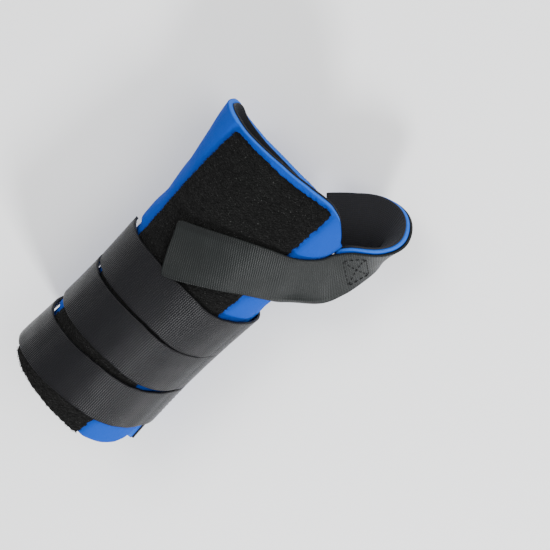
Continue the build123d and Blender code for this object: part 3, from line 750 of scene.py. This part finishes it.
def crown(p, u):
    """Lift of the underside over its flat section, to follow the back of the hand."""
    c, w, n = frame_at(np.minimum(p.ravel(), 3.0))
    uu = u.ravel()
    near = np.clip((2.2 - p.ravel()) / 1.4, 0, 1)
    off = OVER_PILE + (OVER_WRIST - OVER_PILE) * near * np.clip(0.5 + uu / HALF_W, 0, 1)
    h = np.zeros(len(uu))
    for _ in range(10):
        q = c + w * uu[:, None] + n * h[:, None]
        h += (top_of(q[:, 0], q[:, 1], off) - q[:, 2]) * n[:, 2]
    return (h * smooth((4.2 - p.ravel()) / 1.6)).reshape(p.shape)


def ribbon(p, u, depth):
    """Points on the thumb path: place, distance across, depth off the webbing's underside."""
    c, w, n = frame_at(p.ravel())
    q = c + w * u.ravel()[:, None] + n * depth.ravel()[:, None]
    return q.reshape(*p.shape, 3)


def run_length(p0, p1, count=400):
    """Places along the path, and their distances from the first."""
    p = np.linspace(p0, p1, count)
    c = frame_at(p)[0]
    return p, np.concatenate([[0], np.cumsum(np.linalg.norm(np.diff(c, axis=0), axis=1))])


def tongue_slab(name, low, high, half, slot, bulge, p_from=10.0, p_to=FOLD_AT + 0.03):
    """One layer of the tongue, from the seam to its tip, and its area."""
    p_line, d_line = run_length(p_from, p_to)
    u, k = np.meshgrid(np.linspace(-half, half, 31), np.linspace(0, 1, 110), indexing="ij")
    trim = 3.0 * np.abs(u / half) ** 6 * smooth((k - 0.9) / 0.1)
    d = k * d_line[-1] - trim
    p = np.interp(d, d_line, p_line)
    soft_top = 0.10 * ripple(u, d, 15, 71)
    puffy = -0.35 * np.abs(u / half) ** 8
    over = ribbon(p, u, np.full_like(p, high) + (soft_top + puffy if bulge > 0.3 else 0))
    under = ribbon(p, u, np.full_like(p, low))
    return slab(name, over, under, np.stack([u, d], -1), slot, bulge), cut_area(over, under)


KNIT_W = 27.4
tongue, _ = tongue_slab("thumb_tongue_foam", -0.12 - TONGUE_T, -0.12, 13.2, "blue_foam", 0.5)
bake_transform(tongue)
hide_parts("thumb_tongue_shell")
inner, knit_area = tongue_slab("thumb_tongue_knit", -0.16 - TONGUE_T - 0.9, -0.16 - TONGUE_T, KNIT_W / 2,
                               "black_lining", 0.25)
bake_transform(inner)
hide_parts("thumb_tongue_lining")

p_line, d_line = run_length(8.7, 0.0)
total = d_line[-1]
u_row = HALF_W * (np.sin(np.linspace(-pi / 2, pi / 2, 27)) * 0.35 + np.linspace(-1, 1, 27) * 0.65)
trim = corner_trim(HALF_W - np.abs(u_row), 1.8)
finger_side = np.clip(-u_row / HALF_W, 0, 1)
oblique = 1.8 * finger_side  # the free end is cut a little aslant
WIDER = 2.2  # the photographed strap is wider than the others, here towards its free end only
dist = np.linspace(0, 1, 230)[None, :] * (total - trim[:, None] - oblique[:, None])
p = np.interp(dist, d_line, p_line)
u = u_row[:, None] - WIDER * finger_side[:, None] * (1 - smooth((p - 1.8) / 2.0))
settle = np.interp(p, [0.0, 1.55, 1.9, 2.8, 3.8, 10], [0.42, 0.42, 0.85, 0.85, 0.0, 0.0])
depth = crown(p, u) - settle
for _ in range(4):
    wide_row = np.pad(depth, ((0, 0), (6, 6)), mode="edge")
    depth = np.stack([wide_row[:, k:k + depth.shape[1]] for k in range(13)]).mean(0)
depth = depth + 0.10 * ripple(dist, u, 16, 81) * smooth((4.3 - p) / 1.0) + 0.02
curl = 0.5 * (1 - (u / HALF_W) ** 2) * smooth((p - 3.2) / 1.0) * smooth((FOLD_AT + 0.6 - p) / 1.2)
u_wave = u + 0.15 * ripple(dist, u * 0, 23, 83)
under, over = ribbon(p, u_wave, depth + curl), ribbon(p, u_wave, depth + curl + WEB)
# lifted clear of the dorsal flap's corner, in a smooth slope
FLAP_REACH, FLAP_HALF = 109, 36.5
over_flap = (under[..., 0] < FLAP_REACH) & (np.abs(under[..., 1]) < FLAP_HALF)
flap = top_of(under[..., 0], np.clip(under[..., 1], -FLAP_HALF, FLAP_HALF), WALL + 0.7)
rise = np.clip(np.where(over_flap, flap - under[..., 2], 0), 0, 6)
for _ in range(40):
    rise = np.maximum(rise, 0.25 * (np.roll(rise, 1, 1) + np.roll(rise, -1, 1)) + 0.5 * rise)
    rise[:, 0], rise[:, -1] = 0, rise[:, -2]
under[..., 2] += rise
over[..., 2] += rise
web = slab("thumb_strap_webbing", over, under, np.stack([u, dist], -1), "thumb_webbing", 0.28)
c, _, _ = frame_at([FOLD_AT - 0.25, FOLD_AT + 0.25])
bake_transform(web)
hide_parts("thumb_strap", "thumb_strap_base")
wide = u[-1] - u[0]

p_line, d_line = run_length(1.55, 0.1)
u, k = np.meshgrid(np.linspace(-11.5, 6.5, 17), np.linspace(0, 1, 40), indexing="ij")
p = np.interp(k * d_line[-1], d_line, p_line)
h = crown(p, u) - 0.42
over, under = ribbon(p, u, h - 0.04), ribbon(p, u, h - 0.58)
tab = slab("thumb_hook_tab", over, under, np.stack([u, k * d_line[-1]], -1), "hook_tape", 0.05, 1)
move(tab, "thumb_strap_free", "thumb_strap_hook")

p_line, d_line = run_length(5.3, 4.58)


def seat_thumb(uu, dd):
    c, w, n = frame_at(np.interp(dd, d_line, p_line))
    return c + w * np.asarray(uu, float)[:, None] + n * (WEB + 0.13), n


runs = box_stitch(seat_thumb, 8.4, 0, d_line[-1], 14)
move(threads("thumb_box_sewing", runs, "thread"), "thumb_tongue", "thumb_box_stitch")

# ---------------------------------------------------------------- stay pocket and stay
POCKET_FROM, POCKET_LEN, POCKET_HALF = -94, 136, 20.0
u, l = np.meshgrid(np.linspace(-1, 1, 61), np.linspace(0, 1, 130), indexing="ij")
s = POCKET_FROM + POCKET_LEN * l
y = POCKET_HALF * u
n = value(s, 3)


def below(off):
    """Height of the form's underside over the spine's line, at the pocket's grid."""
    v = (value(s, 2) + off) * np.maximum(1 - (np.abs(y) / (value(s, 1) + off)) ** n, 0) ** (1 / n)
    return centre(s) - v - spine(s)[1]


shell_h = below(WALL + 0.15)
floor_h = np.interp(np.abs(y), [0, 14.5, 16.5, 18.2, 20.0], [0, 0, 0.5, 2.2, 4.6])
floor_h = floor_h + 0.08 * (1 + ripple(s, y, 12, 91)) * (np.abs(y) > 14)
full = smooth(np.minimum(l, 1 - l) * POCKET_LEN / 5.0)
h = shell_h + (np.minimum(floor_h, shell_h) - shell_h) * full
x, z, al = spine(s)
over = np.stack([x - np.sin(al) * h, y, z + h * np.cos(al)], -1)
x2 = h + 0.9 * np.clip((shell_h - h) / 1.2, 0.05, 1)
under = np.stack([x - np.sin(al) * x2, y, z + x2 * np.cos(al)], -1)
pocket = slab("stay_pocket_cloth", over, under, np.stack([y, s], -1), "pocket_fabric", 0.15, 1)
move(pocket, "wrap", "stay_pocket")
cut_area(over, under)


def seat_pocket(yy, ss):
    yy, ss = np.asarray(yy, float), np.asarray(ss, float)
    n = value(ss, 3)
    v = (value(ss, 2) + WALL) * np.maximum(1 - (np.abs(yy) / (value(ss, 1) + WALL)) ** n, 0) ** (1 / n)
    hh = centre(ss) - spine(ss)[1] - v - 0.2
    x, z, al = spine(ss)
    outward = np.stack([np.sin(al), yy / 60, -np.cos(al)], -1)
    return np.stack([x - np.sin(al) * hh, yy, z + np.cos(al) * hh], -1), outward


runs = [seat_pocket(np.full(60, k * 19.3), np.linspace(-93, 41, 60)) for k in (-1, 1)]
runs += [seat_pocket(np.linspace(-19.3, 19.3, 20), np.full(20, k)) for k in (-93.2, 41.2)]
move(threads("pocket_sewing", runs, "thread", 0.22, 3.0, 2.2), "wrap")

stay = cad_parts["palmar_stay"]
stay.data.materials.clear()
stay.data.materials.append(LOOK["aluminium_stay"])

# ---------------------------------------------------------------- floor, light and camera
me = bpy.data.meshes.new("floor")
FLOOR_HALF, FLOOR_Z = 6, -0.0003
corners = [(x * FLOOR_HALF, y * FLOOR_HALF, FLOOR_Z) for x, y in ((-1, -1), (1, -1), (1, 1), (-1, 1))]
me.from_pydata(corners, [], [(0, 1, 2, 3)])
floor = bpy.data.objects.new("floor", me)
bpy.context.scene.collection.objects.link(floor)
t = Tree("floor")
me.materials.append(t.done((0.93, 0.93, 0.93), 0.9, spec=0.1))

world = bpy.data.worlds.new("studio")
bpy.context.scene.world = world
world.use_nodes = True
world.node_tree.nodes["Background"].inputs[0].default_value = (0.95, 0.97, 1.0, 1)
world.node_tree.nodes["Background"].inputs[1].default_value = 0.75


def area(name, place, aim, size, power, colour=(1, 1, 1)):
    d = bpy.data.lights.new(name, "AREA")
    d.shape, d.size, d.size_y, d.energy, d.color = "RECTANGLE", size, size * 0.8, power, colour
    o = bpy.data.objects.new(name, d)
    bpy.context.scene.collection.objects.link(o)
    o.location = place
    o.rotation_euler = (Vector(aim) - Vector(place)).to_track_quat("-Z", "Y").to_euler()


area("key", (0.55, 0.75, 1.25), (0.04, -0.01, 0.03), 0.9, 14, (1.0, 0.99, 0.97))
area("sheen", (-0.45, -0.90, 0.66), (0.02, -0.01, 0.03), 0.26, 20, (0.98, 0.99, 1.0))
area("side", (0.95, -0.70, 1.15), (0.04, -0.01, 0.03), 1.0, 17, (1.0, 1.0, 1.0))

AZ, EL, ROLL, DIST, LENS = 80.25, 66.35, -123.49, 0.650, 89.5
target = Vector((0.01846 + SHIFT / 1000, -0.02935, 0.0342))
az, el, roll = radians(AZ), radians(EL), radians(ROLL)
back = Vector((sin(az) * cos(el), -cos(az) * cos(el), sin(el)))
right = (-back).cross(Vector((0, 0, 1))).normalized()
up = right.cross(-back)
r2 = right * cos(roll) + up * sin(roll)
u2 = right * -sin(roll) + up * cos(roll)
cam = bpy.data.objects.new("camera", bpy.data.cameras.new("camera"))
cam.data.lens, cam.data.sensor_width = LENS, 36
cam.data.clip_start, cam.data.clip_end = 0.05, 20
bpy.context.scene.collection.objects.link(cam)
cam.matrix_world = Matrix((r2, u2, back)).transposed().to_4x4()
cam.location = target + back * DIST
bpy.context.scene.camera = cam
